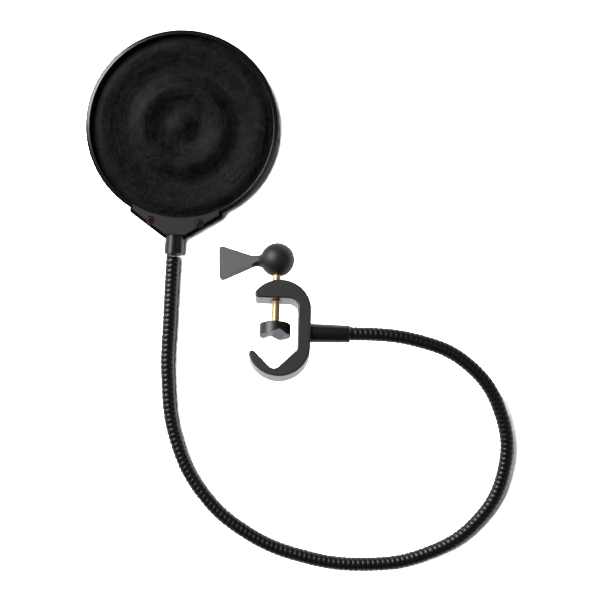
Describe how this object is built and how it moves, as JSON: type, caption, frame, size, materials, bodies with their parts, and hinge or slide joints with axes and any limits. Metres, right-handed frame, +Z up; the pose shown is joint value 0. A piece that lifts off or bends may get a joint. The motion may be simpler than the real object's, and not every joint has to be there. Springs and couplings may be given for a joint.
{
  "type": "microphone pop filter",
  "caption": "Round wave-cloth pop filter on a bent gooseneck, with a C-clamp and thumb screw that fix it to a microphone stand tube.",
  "frame": {"origin": "middle of the whole object's footprint, on the surface it lies on", "axes": "+Z up from that surface, out of the head's front; +Y from the gooseneck's far bend to the head's top edge; +X from the head's side towards the gooseneck's loop"},
  "size_m": [0.296, 0.3746, 0.0444],
  "materials": {
    "black_plastic": "satin",
    "grey_plastic": "matte",
    "wave_cloth": "matte",
    "neck_black": "gloss",
    "clamp_black": "satin",
    "knob_black": "satin",
    "brass": "polished",
    "dark_steel": "browned",
    "black_rubber": "matte"
  },
  "bodies": {
    "clamp": {"clamp_frame": "clamp_black", "ferrule_screw": "dark_steel", "lower_ferrule": "clamp_black", "lower_grub_screw": "dark_steel", "jaw_bush": "dark_steel", "neck_link_01": "neck_black"},
    "neck_02": {"neck_link_02": "neck_black"},
    "neck_03": {"neck_link_03": "neck_black"},
    "neck_04": {"neck_link_04": "neck_black"},
    "neck_05": {"neck_link_05": "neck_black"},
    "neck_06": {"neck_link_06": "neck_black"},
    "neck_07": {"neck_link_07": "neck_black"},
    "neck_08": {"neck_link_08": "neck_black"},
    "neck_09": {"neck_link_09": "neck_black"},
    "neck_10": {"neck_link_10": "neck_black"},
    "neck_11": {"neck_link_11": "neck_black"},
    "neck_12": {"neck_link_12": "neck_black"},
    "neck_13": {"neck_link_13": "neck_black"},
    "head": {"neck_link_14": "neck_black", "front_ring": "black_plastic", "rear_ring": "black_plastic", "spacer_ring": "black_plastic", "front_cloth": "wave_cloth", "rear_cloth": "wave_cloth", "bracket_front_plate": "grey_plastic", "bracket_rear_shell": "black_plastic", "bracket_screws": "dark_steel", "upper_ferrule": "clamp_black", "upper_grub_screw": "dark_steel"},
    "washer": {"thrust_washer": "brass"},
    "thumb_screw": {"clamp_screw": "brass", "knob": "knob_black"},
    "presser": {"presser_pad": "black_rubber"}
  },
  "joints": [
    {"name": "neck_bend_01", "type": "hinge", "parent": "clamp", "child": "neck_02", "pos_m": [0.07638, -0.02601, 0.02526], "axis": [0.0773, -0.0105, 0.997], "range_deg": [-15, 15]},
    {"name": "neck_lift_02", "type": "hinge", "parent": "neck_02", "child": "neck_03", "pos_m": [0.1141, -0.04266, 0.02077], "axis": [-0.6428, -0.766, 0], "range_deg": [-15, 15]},
    {"name": "neck_bend_03", "type": "hinge", "parent": "neck_03", "child": "neck_04", "pos_m": [0.13776, -0.07644, 0.01519], "axis": [-0.0444, 0.1219, -0.9915], "range_deg": [-15, 15]},
    {"name": "neck_lift_04", "type": "hinge", "parent": "neck_04", "child": "neck_05", "pos_m": [0.14061, -0.11755, 0.01033], "axis": [0.9781, -0.2079, 0], "range_deg": [-15, 15]},
    {"name": "neck_bend_05", "type": "hinge", "parent": "neck_05", "child": "neck_06", "pos_m": [0.12103, -0.15395, 0.00696], "axis": [-0.0425, -0.0433, 0.9982], "range_deg": [-8, 15]},
    {"name": "neck_lift_06", "type": "hinge", "parent": "neck_06", "child": "neck_07", "pos_m": [0.08558, -0.17588, 0.00529], "axis": [-0.309, 0.9511, 0], "range_deg": [-15, 15]},
    {"name": "neck_bend_07", "type": "hinge", "parent": "neck_07", "child": "neck_08", "pos_m": [0.04399, -0.18246, 0.00492], "axis": [0, 0, -1], "range_deg": [-15, 6]},
    {"name": "neck_lift_08", "type": "hinge", "parent": "neck_08", "child": "neck_09", "pos_m": [0.00215, -0.17696, 0.00492], "axis": [-0.2588, -0.9659, 0], "range_deg": [-15, 15]},
    {"name": "neck_bend_09", "type": "hinge", "parent": "neck_09", "child": "neck_10", "pos_m": [-0.03675, -0.16064, 0.00492], "axis": [0, 0, 1], "range_deg": [-7, 15]},
    {"name": "neck_lift_10", "type": "hinge", "parent": "neck_10", "child": "neck_11", "pos_m": [-0.06794, -0.13261, 0.00492], "axis": [0.8028, 0.5962, 0], "range_deg": [-15, 15]},
    {"name": "neck_bend_11", "type": "hinge", "parent": "neck_11", "child": "neck_12", "pos_m": [-0.08625, -0.09483, 0.00529], "axis": [-0.0045, 0.0167, -0.9998], "range_deg": [-15, 9]},
    {"name": "neck_lift_12", "type": "hinge", "parent": "neck_12", "child": "neck_13", "pos_m": [-0.09164, -0.053, 0.00621], "axis": [-1, 0.007, 0], "range_deg": [-15, 15]},
    {"name": "neck_bend_13", "type": "hinge", "parent": "neck_13", "child": "head", "pos_m": [-0.09024, -0.01064, 0.00713], "axis": [-0.001, -0.0173, 0.9998], "range_deg": [-15, 15]},
    {"name": "screw_advance", "type": "slide", "parent": "clamp", "child": "washer", "axis": [-0.0284, -0.9559, 0.2924], "range_m": [-0.0145, 0.0035]},
    {"name": "screw_turn", "type": "hinge", "parent": "washer", "child": "thumb_screw", "pos_m": [-0.01551, 0.02839, 0.0118], "axis": [-0.0284, -0.9559, 0.2924], "range_deg": [-5220, 1260]},
    {"name": "presser_swivel", "type": "hinge", "parent": "washer", "child": "presser", "pos_m": [-0.01682, -0.01587, 0.02534], "axis": [-0.0284, -0.9559, 0.2924], "continuous": true}
  ],
  "couplings": [
    {"joint": "screw_turn", "follows": "screw_advance", "rad_per_m": 6283.2}
  ]
}
